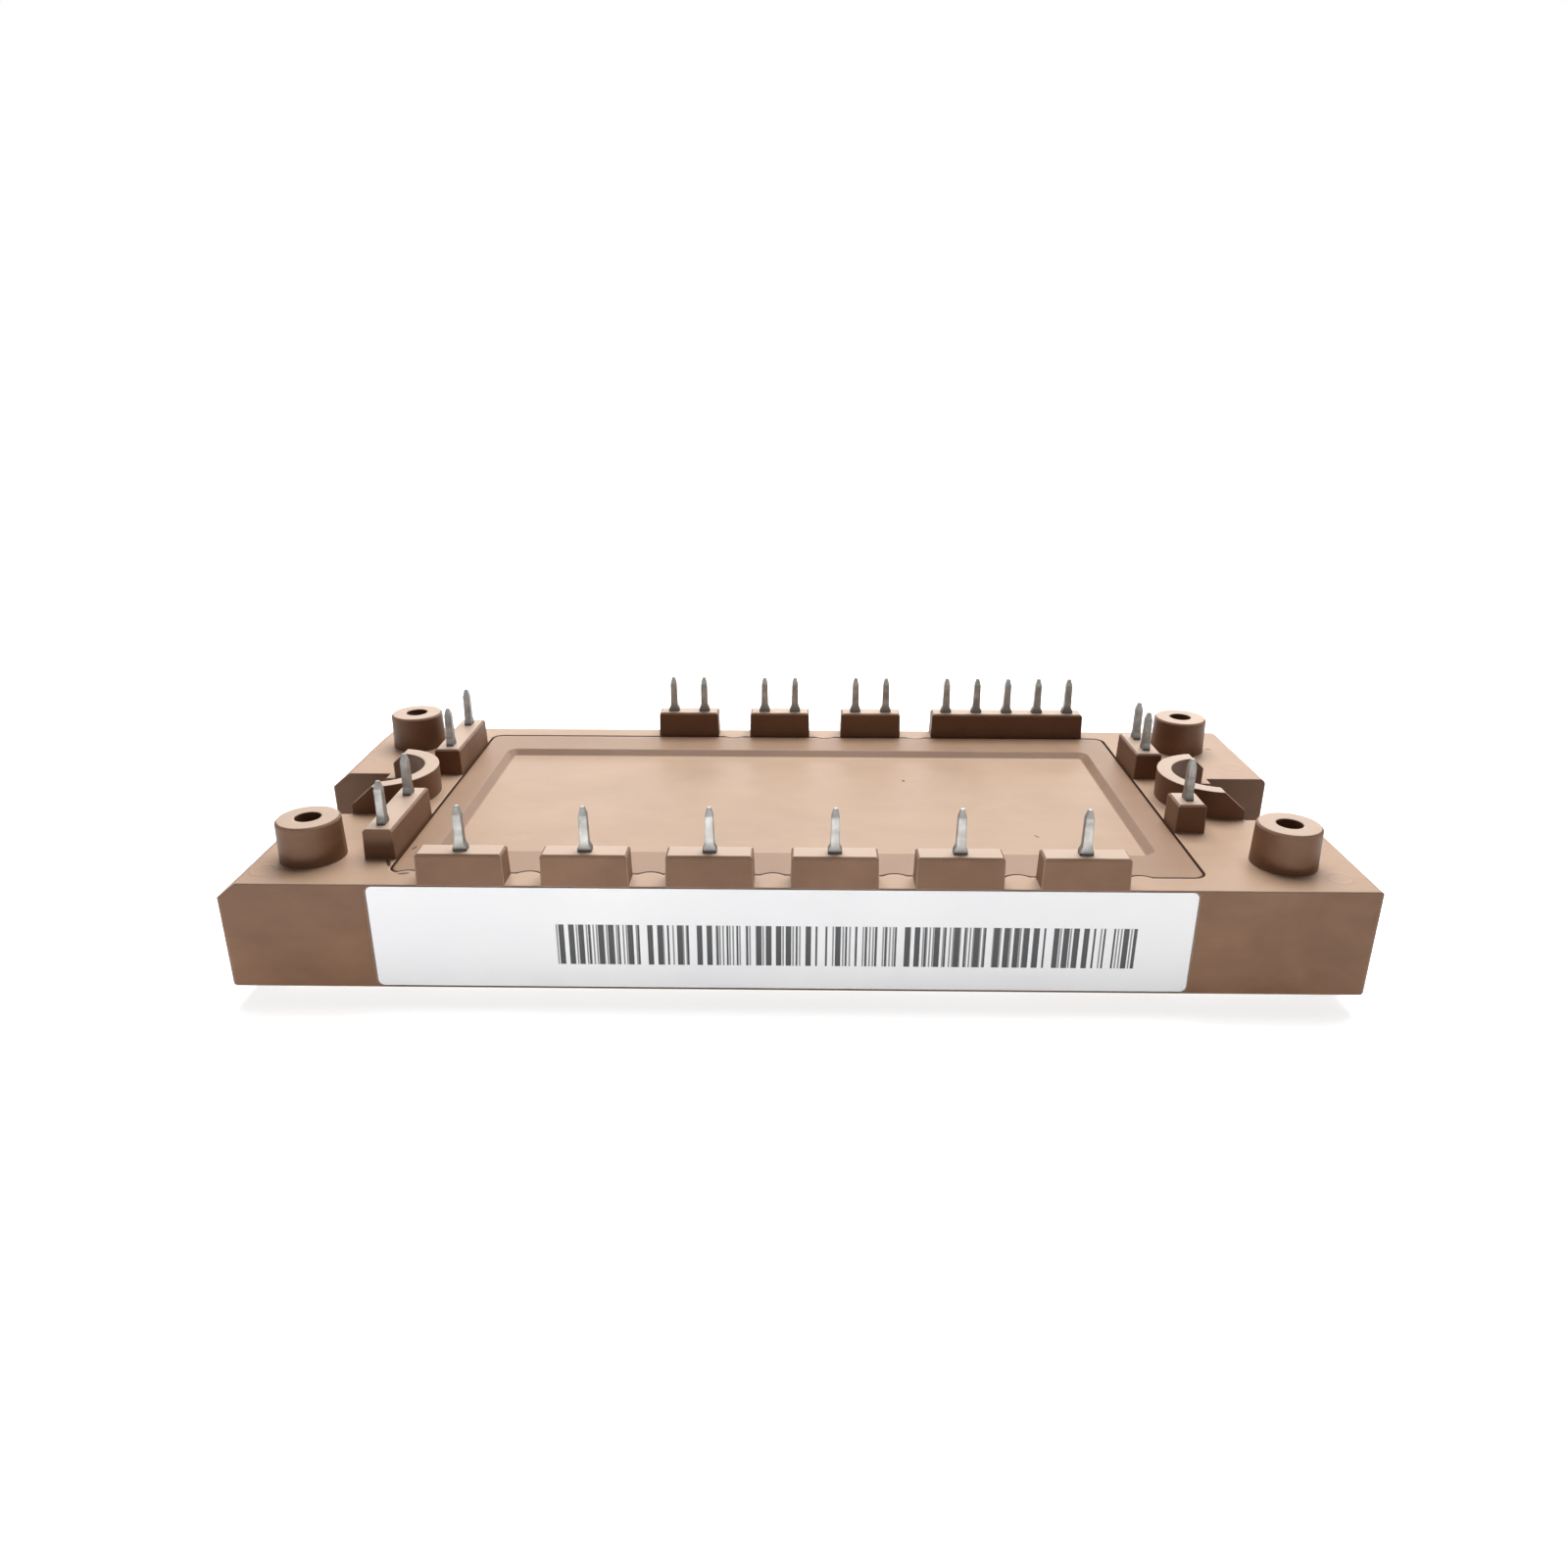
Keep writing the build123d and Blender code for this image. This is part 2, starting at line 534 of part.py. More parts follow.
gate_pads = [(x - gate_reach, y) for name, x, y in igbts]
with BuildPart() as copper_tracks:
    with BuildSketch(Plane.XY.offset(CERAMIC_TOP)):
        for left, right, y, row in areas:
            with Locations(((left + right) / 2, y)):
                Rectangle(right - left, row - TRACK_GAP)
        with Locations(*gate_pads):
            Rectangle(island_width, GATE_PAD_LENGTH + 2 * GATE_PAD_GAP, mode=Mode.SUBTRACT)
            Rectangle(GATE_PAD_WIDTH, GATE_PAD_LENGTH)
    extrude(amount=COPPER_THICKNESS)
save(copper_tracks, "copper_tracks")

with BuildPart() as chip_solder:
    with BuildSketch(Plane.XY.offset(TRACK_TOP)):
        for name, x, y, size in chips:
            with Locations((x, y)):
                Rectangle(size + 2 * CHIP_SOLDER_MARGIN, size + 2 * CHIP_SOLDER_MARGIN)
    extrude(amount=CHIP_SOLDER_THICKNESS)
save(chip_solder, "chip_solder")

for name, x, y, size in chips:
    with BuildPart() as chip:
        with BuildSketch(Plane.XY.offset(CHIP_BOTTOM)):
            with Locations((x, y)):
                Rectangle(size, size)
        extrude(amount=CHIP_THICKNESS)
    save(chip, name)

# Temperature sensor: a ceramic chip that bridges its two pads
with BuildPart() as thermistor:
    with BuildSketch(Plane.XY.offset(TRACK_TOP)):
        with Locations((split_x, minus_y)):
            Rectangle(THERMISTOR_LENGTH, THERMISTOR_WIDTH)
    extrude(amount=THERMISTOR_HEIGHT)
save(thermistor, "thermistor")


# Bond wires: pressed down flat at both feet and bowed up between them
def bond_wire(start, finish, size):
    run = Vector(finish[0] - start[0], finish[1] - start[1], 0)
    towards = run.normalized()
    foot = min(WIRE_FOOT, run.length / 4)
    crown = max(start[2], finish[2]) + WIRE_RISE
    path = [
        (0, start[2]),
        (foot, start[2]),
        (run.length / 2, crown),
        (run.length - foot, finish[2]),
        (run.length, finish[2]),
    ]
    side_view = Plane(
        origin=(start[0], start[1], 0), x_dir=towards, z_dir=towards.cross(Vector(0, 0, 1))
    )
    with BuildPart() as wire:
        with BuildSketch(side_view.offset(-size / 2)):
            with BuildLine():
                Polyline(*path, *[(along, height + size) for along, height in reversed(path)], close=True)
            make_face()
        extrude(amount=size)
    return wire.part


# Power wires run from each chip to the copper in front of it: two from a switch
# and one from a diode
switch_shifts = (-POWER_WIRE_PITCH / 2, POWER_WIRE_PITCH / 2)
power_runs = []
for name, x, y, size in chips:
    if y == plus_y:
        landing_y = phase_y + phase_row / 2 - TRACK_GAP
    else:
        landing_y = minus_y + WIRE_FOOT
    for shift in switch_shifts if "igbt" in name else (0,):
        power_runs.append(((x + shift, y, CHIP_TOP), (x + shift, landing_y, TRACK_TOP)))
with BuildPart() as power_wires:
    add([bond_wire(start, finish, POWER_WIRE) for start, finish in power_runs])
save(power_wires, "power_wires")

# One gate wire runs from the left side of each switch to its island
gate_start = IGBT_SIZE / 2 - GATE_WIRE_INSET
gate_runs = [((x - gate_start, y, CHIP_TOP), (x - gate_reach, y, TRACK_TOP)) for name, x, y in igbts]
with BuildPart() as gate_wires:
    add([bond_wire(start, finish, GATE_WIRE) for start, finish in gate_runs])
save(gate_wires, "gate_wires")

# Terminal wires run from the copper's border up to the foot of each pin
border_x = track_end - WIRE_FOOT - CHIP_SOLDER_MARGIN
border_y = (copper_width - TRACK_GAP) / 2 - WIRE_FOOT - CHIP_SOLDER_MARGIN
foot_x = WELL_LENGTH / 2 + FOOT_MARGIN + WIRE_FOOT
foot_y = WELL_WIDTH / 2 + FOOT_MARGIN + WIRE_FOOT
terminal_runs = []
for x, y, inwards in pin_places:
    if abs(y) == PIN_ROW_Y:
        finish = (x, foot_y if y > 0 else -foot_y)
    else:
        finish = (foot_x if x > 0 else -foot_x, y)
    track_x = max(-border_x, min(border_x, finish[0]))
    track_y = max(-border_y, min(border_y, finish[1]))
    terminal_runs.append(((track_x, track_y, TRACK_TOP), (*finish, FOOT_TOP)))
with BuildPart() as terminal_wires:
    add([bond_wire(start, finish, POWER_WIRE) for start, finish in terminal_runs])
save(terminal_wires, "terminal_wires")

# Silicone gel: the layer that is poured over the wires, up to just under the lid.
# It lies against the walls of the room.
with BuildPart() as silicone_gel:
    with BuildSketch(Plane.XY.offset(GEL_BOTTOM)):
        Rectangle(ROOM_LENGTH, ROOM_WIDTH)
    extrude(amount=GEL_TOP - GEL_BOTTOM)
save(silicone_gel, "silicone_gel")
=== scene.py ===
from math import radians

import bpy
from mathutils import Matrix, Vector

# Power module with 24 solder pins. Metres. X runs along it, Y away from the
# label and Z up, with the origin under the middle of the base plate.
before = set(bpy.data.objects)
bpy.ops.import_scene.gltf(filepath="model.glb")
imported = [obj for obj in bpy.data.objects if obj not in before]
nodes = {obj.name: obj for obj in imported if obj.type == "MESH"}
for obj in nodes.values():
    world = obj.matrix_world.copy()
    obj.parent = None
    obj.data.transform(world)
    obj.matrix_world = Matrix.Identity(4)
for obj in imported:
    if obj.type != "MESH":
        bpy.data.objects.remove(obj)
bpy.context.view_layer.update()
bpy.ops.object.select_all(action="DESELECT")


# The view of the photograph: from in front, a little above the module, with a
# wide lens close to it. The place and the angles come from its own corners.
MM = 0.001
CAMERA_PLACE = Vector((-0.01, -114.26, 59.0)) * MM
CAMERA_DOWN = 21.37
CAMERA_YAW = 0.690
CAMERA_ROLL = 0.131
LENS = 25.70
SENSOR = 36.0
NEAREST = 0.005
FARTHEST = 20.0

camera_data = bpy.data.cameras.new("camera")
camera_data.lens = LENS
camera_data.sensor_width = SENSOR
camera_data.clip_start = NEAREST
camera_data.clip_end = FARTHEST
camera = bpy.data.objects.new("camera", camera_data)
camera.matrix_world = (
    Matrix.Translation(CAMERA_PLACE)
    @ Matrix.Rotation(radians(CAMERA_YAW), 4, "Z")
    @ Matrix.Rotation(radians(90 - CAMERA_DOWN), 4, "X")
    @ Matrix.Rotation(radians(CAMERA_ROLL), 4, "Z")
)
bpy.context.scene.collection.objects.link(camera)
bpy.context.scene.camera = camera
bpy.context.scene.view_settings.view_transform = "Standard"


# Floor: a plain sheet of white paper. It keeps the module's shadow near it and
# runs out into the white surround further off. It lies a hair above the plate's
# underside, so that the two faces don't share a plane.
SHEET_SIZE = 3.0
SHEET_HEIGHT = 0.02 * MM
FADE_START = 0.09
FADE_END = 0.22


def linear(code):
    channels = [int(code[place:place + 2], 16) / 255 for place in (1, 3, 5)]
    light = [c / 12.92 if c <= 0.04045 else ((c + 0.055) / 1.055) ** 2.4 for c in channels]
    return light + [1.0]


def add_node(tree, kind, links=None, values=None, stops=(), **settings):
    made = tree.nodes.new(kind)
    for name, value in settings.items():
        setattr(made, name, value)
    for socket, value in (values or {}).items():
        made.inputs[socket].default_value = value
    for socket, source in (links or {}).items():
        tree.links.new(source, made.inputs[socket])
    for spare in stops[2:]:
        made.color_ramp.elements.new(0.5)
    for number, (place, code) in enumerate(stops):
        made.color_ramp.elements[number].position = place
        made.color_ramp.elements[number].color = linear(code)
    return made


def new_material(name):
    material = bpy.data.materials.new(name)
    material.use_nodes = True
    material.node_tree.nodes.clear()
    return material, material.node_tree


def seen_rays(tree):
    path = add_node(tree, "ShaderNodeLightPath")
    direct = add_node(
        tree, "ShaderNodeMath",
        {0: path.outputs["Is Camera Ray"], 1: path.outputs["Is Transmission Ray"]},
        operation="MAXIMUM",
    )
    mirrored = add_node(
        tree, "ShaderNodeMath", {0: direct.outputs[0], 1: path.outputs["Is Glossy Ray"]},
        operation="MAXIMUM",
    )
    return mirrored.outputs[0]


floor_material, tree = new_material("white_paper_sheet")
seen = seen_rays(tree)
paper = add_node(tree, "ShaderNodeBsdfDiffuse", values={"Color": linear("#F4F4F4")})
glow = add_node(tree, "ShaderNodeEmission", {"Strength": seen}, {"Color": linear("#E2E2E2")})
lit = add_node(tree, "ShaderNodeAddShader", {0: paper.outputs[0], 1: glow.outputs[0]})
place = add_node(tree, "ShaderNodeTexCoord")
reach = add_node(tree, "ShaderNodeVectorMath", {0: place.outputs["Object"]}, operation="LENGTH")
fade = add_node(
    tree, "ShaderNodeMapRange", {"Value": reach.outputs["Value"]},
    {"From Min": FADE_START, "From Max": FADE_END}, interpolation_type="SMOOTHSTEP",
)
surround = add_node(tree, "ShaderNodeMath", {0: fade.outputs[0], 1: seen}, operation="MULTIPLY")
white = add_node(tree, "ShaderNodeEmission", values={"Color": linear("#FFFFFF")})
sheet = add_node(
    tree, "ShaderNodeMixShader",
    {0: surround.outputs[0], 1: lit.outputs[0], 2: white.outputs[0]},
)
add_node(tree, "ShaderNodeOutputMaterial", {"Surface": sheet.outputs[0]})

bpy.ops.mesh.primitive_plane_add(size=SHEET_SIZE, location=(0, 0, SHEET_HEIGHT))
floor = bpy.context.object
floor.name = "floor"
floor.data.materials.append(floor_material)


# Light: one large soft lamp above and behind, a wide window further back, a low
# strip in front that lights the front wall, and a plain white surround. Its
# white shows behind the module, in metal and through glass.
WORLD_LIGHT = 0.07
WORLD_SEEN = 1.0
LAMP_AIM = Vector((0, 0, 8)) * MM
# Each lamp: name, place, size and watts.
LAMPS = (
    ("overhead_lamp", (0.05, 0.27, 0.60), (0.60, 0.50), 7.1),
    ("front_strip", (-0.005, -0.055, 0.0030), (0.20, 0.005), 0.0176),
    ("back_window", (0.05, 0.80, 0.19), (0.90, 0.18), 2.2),
)
world = bpy.data.worlds.new("white_surround")
world.use_nodes = True
world.node_tree.nodes.clear()
tree = world.node_tree
strength = add_node(
    tree, "ShaderNodeMapRange", {"Value": seen_rays(tree)},
    {"To Min": WORLD_LIGHT, "To Max": WORLD_SEEN},
)
sky = add_node(
    tree, "ShaderNodeBackground", {"Strength": strength.outputs[0]},
    {"Color": linear("#FFFFFF")},
)
add_node(tree, "ShaderNodeOutputWorld", {"Surface": sky.outputs[0]})
bpy.context.scene.world = world

for name, place, size, power in LAMPS:
    lamp_data = bpy.data.lights.new(name, "AREA")
    lamp_data.shape = "RECTANGLE"
    lamp_data.size, lamp_data.size_y = size
    lamp_data.energy = power
    lamp = bpy.data.objects.new(name, lamp_data)
    lamp.location = place
    lamp.rotation_euler = (LAMP_AIM - Vector(place)).to_track_quat("-Z", "Y").to_euler()
    lamp.visible_camera = False
    bpy.context.scene.collection.objects.link(lamp)


# Base plate: copper sheet, stamped and plated with matt nickel. The plating keeps
# a fine rolled grain along the plate and dulls in soft patches where it is handled.
ROLL_GRAIN_MM = 0.17
ROLL_LENGTH_MM = 6.5
HANDLED_MM = 8.0


def dress(names, material):
    for name in names:
        data = nodes[name].data
        data.materials.clear()
        data.materials.append(material)


def millimetres(tree, period=(1, 1, 1)):
    place = add_node(tree, "ShaderNodeTexCoord")
    return add_node(
        tree, "ShaderNodeMapping", {"Vector": place.outputs["Object"]},
        {"Scale": [1 / (MM * length) for length in period]},
    ).outputs[0]


plate_material, tree = new_material("matt_nickel_on_copper")
grain = add_node(
    tree, "ShaderNodeTexNoise",
    {"Vector": millimetres(tree, (ROLL_LENGTH_MM, ROLL_GRAIN_MM, ROLL_GRAIN_MM))},
    {"Scale": 1.0, "Detail": 4.0},
)
patches = add_node(
    tree, "ShaderNodeTexNoise", {"Vector": millimetres(tree)},
    {"Scale": 1 / HANDLED_MM, "Detail": 3.0},
)
tone = add_node(
    tree, "ShaderNodeValToRGB", {"Fac": patches.outputs["Fac"]},
    stops=((0.3, "#A6A39C"), (0.7, "#BEBBB4")),
)
polish = add_node(
    tree, "ShaderNodeMapRange", {"Value": grain.outputs["Fac"]},
    {"To Min": 0.28, "To Max": 0.46},
)
relief = add_node(
    tree, "ShaderNodeBump", {"Height": grain.outputs["Fac"]},
    {"Strength": 0.25, "Distance": 0.03 * MM},
)
surface = add_node(
    tree, "ShaderNodeBsdfPrincipled",
    {
        "Base Color": tone.outputs[0], "Roughness": polish.outputs[0],
        "Normal": relief.outputs[0],
    },
    {"Metallic": 1.0},
)
add_node(tree, "ShaderNodeOutputMaterial", {"Surface": surface.outputs[0]})
dress(["base_plate"], plate_material)


# Solder: tin and silver, melted in a thin layer under the substrate and under
# each chip. It sets dull, with a faint grain.
SOLDER_GRAIN_MM = 0.7

solder_material, tree = new_material("dull_tin_silver_solder")
grain = add_node(
    tree, "ShaderNodeTexNoise", {"Vector": millimetres(tree)},
    {"Scale": 1 / SOLDER_GRAIN_MM, "Detail": 3.0},
)
tone = add_node(
    tree, "ShaderNodeValToRGB", {"Fac": grain.outputs["Fac"]},
    stops=((0.3, "#9FA1A3"), (0.7, "#C3C5C6")),
)
relief = add_node(
    tree, "ShaderNodeBump", {"Height": grain.outputs["Fac"]},
    {"Strength": 0.4, "Distance": 0.05 * MM},
)
surface = add_node(
    tree, "ShaderNodeBsdfPrincipled",
    {"Base Color": tone.outputs[0], "Normal": relief.outputs[0]},
    {"Metallic": 1.0, "Roughness": 0.42},
)
add_node(tree, "ShaderNodeOutputMaterial", {"Surface": surface.outputs[0]})
dress(["base_solder", "chip_solder"], solder_material)


# Copper of the substrate: bonded to both faces of the tile and etched into
# tracks on the upper one. It is bare, with a slight tarnish in patches.
TARNISH_MM = 2.0

copper_material, tree = new_material("etched_bare_copper")
tarnish = add_node(
    tree, "ShaderNodeTexNoise", {"Vector": millimetres(tree)},
    {"Scale": 1 / TARNISH_MM, "Detail": 4.0},
)
tone = add_node(
    tree, "ShaderNodeValToRGB", {"Fac": tarnish.outputs["Fac"]},
    stops=((0.3, "#B8704C"), (0.7, "#DA9468")),
)
polish = add_node(
    tree, "ShaderNodeMapRange", {"Value": tarnish.outputs["Fac"]},
    {"To Min": 0.30, "To Max": 0.48},
)
surface = add_node(
    tree, "ShaderNodeBsdfPrincipled",
    {"Base Color": tone.outputs[0], "Roughness": polish.outputs[0]},
    {"Metallic": 1.0},
)
add_node(tree, "ShaderNodeOutputMaterial", {"Surface": surface.outputs[0]})
dress(["substrate_back_copper", "copper_tracks"], copper_material)


# Ceramic of the substrate: a tile of fired alumina, unglazed, white and matt,
# with a fine sintered grain, drawn coarser here because the real one is too
# fine to show.
SINTER_MM = 0.12

ceramic_material, tree = new_material("fired_alumina")
grain = add_node(
    tree, "ShaderNodeTexNoise", {"Vector": millimetres(tree)},
    {"Scale": 1 / SINTER_MM, "Detail": 3.0},
)
tone = add_node(
    tree, "ShaderNodeValToRGB", {"Fac": grain.outputs["Fac"]},
    stops=((0.3, "#DEDBD1"), (0.7, "#E8E6DE")),
)
relief = add_node(
    tree, "ShaderNodeBump", {"Height": grain.outputs["Fac"]},
    {"Strength": 0.2, "Distance": 0.02 * MM},
)
surface = add_node(
    tree, "ShaderNodeBsdfPrincipled",
    {"Base Color": tone.outputs[0], "Normal": relief.outputs[0]},
    {"Roughness": 0.55, "IOR": 1.76},
)
add_node(tree, "ShaderNodeOutputMaterial", {"Surface": surface.outputs[0]})
dress(["substrate_ceramic"], ceramic_material)


# Chips: silicon dies with a metallised face, cut into fine stripes of cells and
# soldered to the copper.
CELL_MM = 0.45
CHIPS_PER_KIND = 6
CHIP_KINDS = ("inverter_igbt", "freewheel_diode", "rectifier_diode")

die_material, tree = new_material("metallised_silicon_die")
cells = add_node(
    tree, "ShaderNodeTexWave", {"Vector": millimetres(tree)},
    {"Scale": 1 / CELL_MM, "Distortion": 0.0},
)
tone = add_node(
    tree, "ShaderNodeValToRGB", {"Fac": cells.outputs["Fac"]},
    stops=((0.2, "#6E7076"), (0.8, "#A3A4A8")),
)
relief = add_node(
    tree, "ShaderNodeBump", {"Height": cells.outputs["Fac"]},
    {"Strength": 0.2, "Distance": 0.02 * MM},
)
surface = add_node(
    tree, "ShaderNodeBsdfPrincipled",
    {"Base Color": tone.outputs[0], "Normal": relief.outputs[0]},
    {"Metallic": 1.0, "Roughness": 0.35},
)
add_node(tree, "ShaderNodeOutputMaterial", {"Surface": surface.outputs[0]})
for kind in CHIP_KINDS:
    dress([f"{kind}_{number}" for number in range(1, CHIPS_PER_KIND + 1)], die_material)
dress(["brake_igbt", "brake_diode"], die_material)


# Temperature sensor: a small block of dark sintered ceramic that bridges two
# copper pads.
SENSOR_GRAIN_MM = 0.17

sensor_material, tree = new_material("dark_sintered_ceramic")
grain = add_node(
    tree, "ShaderNodeTexNoise", {"Vector": millimetres(tree)},
    {"Scale": 1 / SENSOR_GRAIN_MM, "Detail": 3.0},
)
tone = add_node(
    tree, "ShaderNodeValToRGB", {"Fac": grain.outputs["Fac"]},
    stops=((0.3, "#2E2C2A"), (0.7, "#45423F")),
)
surface = add_node(
    tree, "ShaderNodeBsdfPrincipled", {"Base Color": tone.outputs[0]}, {"Roughness": 0.6},
)
add_node(tree, "ShaderNodeOutputMaterial", {"Surface": surface.outputs[0]})
dress(["thermistor"], sensor_material)


# Glue bead: white silicone between the case and the plate, pressed flat and cured
# in place, with soft lumps.
BEAD_LUMP_MM = 1.25

bead_material, tree = new_material("white_silicone_bead")
lumps = add_node(
    tree, "ShaderNodeTexNoise", {"Vector": millimetres(tree)},
    {"Scale": 1 / BEAD_LUMP_MM, "Detail": 2.0},
)
tone = add_node(
    tree, "ShaderNodeValToRGB", {"Fac": lumps.outputs["Fac"]},
    stops=((0.3, "#CFCEC8"), (0.7, "#DEDDD8")),
)
relief = add_node(
    tree, "ShaderNodeBump", {"Height": lumps.outputs["Fac"]},
    {"Strength": 0.3, "Distance": 0.1 * MM},
)
surface = add_node(
    tree, "ShaderNodeBsdfPrincipled",
    {"Base Color": tone.outputs[0], "Normal": relief.outputs[0]},
    {"Roughness": 0.5, "IOR": 1.41},
)
add_node(tree, "ShaderNodeOutputMaterial", {"Surface": surface.outputs[0]})
dress(["frame_adhesive"], bead_material)


# Case frame: glass-filled PPS, moulded in one shot in a spark-eroded tool. It
# gives a dull brown with faint clouds of fibre, a grain (drawn coarser than the
# real one), edges and raised tops paled by rub wear with a painted highlight,
# painted light that pales what lies upwards, and ejector marks.
CLOUD_MM = 14.0
FIBRE_MM = 2.2
FIBRE_LENGTH = 2.0
GRAIN_MM = 0.35
FIBRE_SHARE = 0.35
CLOUD_TURN = (0.34, 0.5, 0.66)
EDGE_MM = 0.25
EDGE_BENT = (0.98, 0.80)
BEVEL_SAMPLES = 8
# Painted light on what lies upwards: how strong, how uneven, and the steepest face it reaches.
TOP_LIGHT_SHARE = 0.62
TOP_LIGHT_UNEVEN = (0.75, 1.25)
TOP_LIGHT_STEEPEST = 0.68
# Raised tops and edges pale towards one tone: rub wear with a painted highlight.
RUB_AND_HIGHLIGHT_FROM = 13.6
RUB_AND_HIGHLIGHT_TO = 15.6
RUB_AND_HIGHLIGHT_SHARE = 0.36
RECESS_FLOOR = 12.3
RECESS_BLEND = (RECESS_FLOOR + 0.12, RECESS_FLOOR + 0.02)
NICK_TONE = "#4A3226"
RING_RADIUS = 1.5
RING_WIDTH = 0.35
RING_HEIGHT = 2.5
MARK_DEPTH = 0.5
MARK_CORE = 0.7
CASE_TOP = 12.9
# Body: dark, middle and pale; painted light on upward faces and on the recess
# floor; rub wear with a painted highlight on raised tops and edges.
CASE_TONES = ("#6B4A33", "#77553D", "#826048", "#C4A68D", "#C4A68D", "#E4D6CA")
# Each nick: centre and half sizes in millimetres, turn in degrees.
CASE_NICKS = (
    ((-38.95, -17.9, CASE_TOP), (0.22, 0.95, MARK_DEPTH), 24.0),
    ((-36.8, -20.1, CASE_TOP), (0.65, 0.2, MARK_DEPTH), 12.0),
    ((50.6, 16.2, CASE_TOP), (0.5, 0.16, MARK_DEPTH), -30.0),
    ((-47.8, -12.4, CASE_TOP), (0.14, 0.4, MARK_DEPTH), 50.0),
)
# The middles of the ejector marks, in millimetres.
CASE_RINGS = ((50.7, -19.6), (-50.2, -19.6), (51.2, 10.0), (-51.2, 10.0))


def mark(tree, centre, radii, turn=0.0):
    place = add_node(tree, "ShaderNodeTexCoord")
    local = add_node(
        tree, "ShaderNodeMapping", {"Vector": place.outputs["Object"]},
        {
            "Location": Vector(centre) * MM, "Rotation": (0, 0, radians(turn)),
            "Scale": Vector(radii) * MM,
        },
        vector_type="TEXTURE",
    )
    reach = add_node(tree, "ShaderNodeVectorMath", {0: local.outputs[0]}, operation="LENGTH")
    return add_node(
        tree, "ShaderNodeMapRange", {"Value": reach.outputs["Value"]},
        {"From Min": 1.0, "From Max": MARK_CORE},
        interpolation_type="SMOOTHSTEP",
    ).outputs[0]


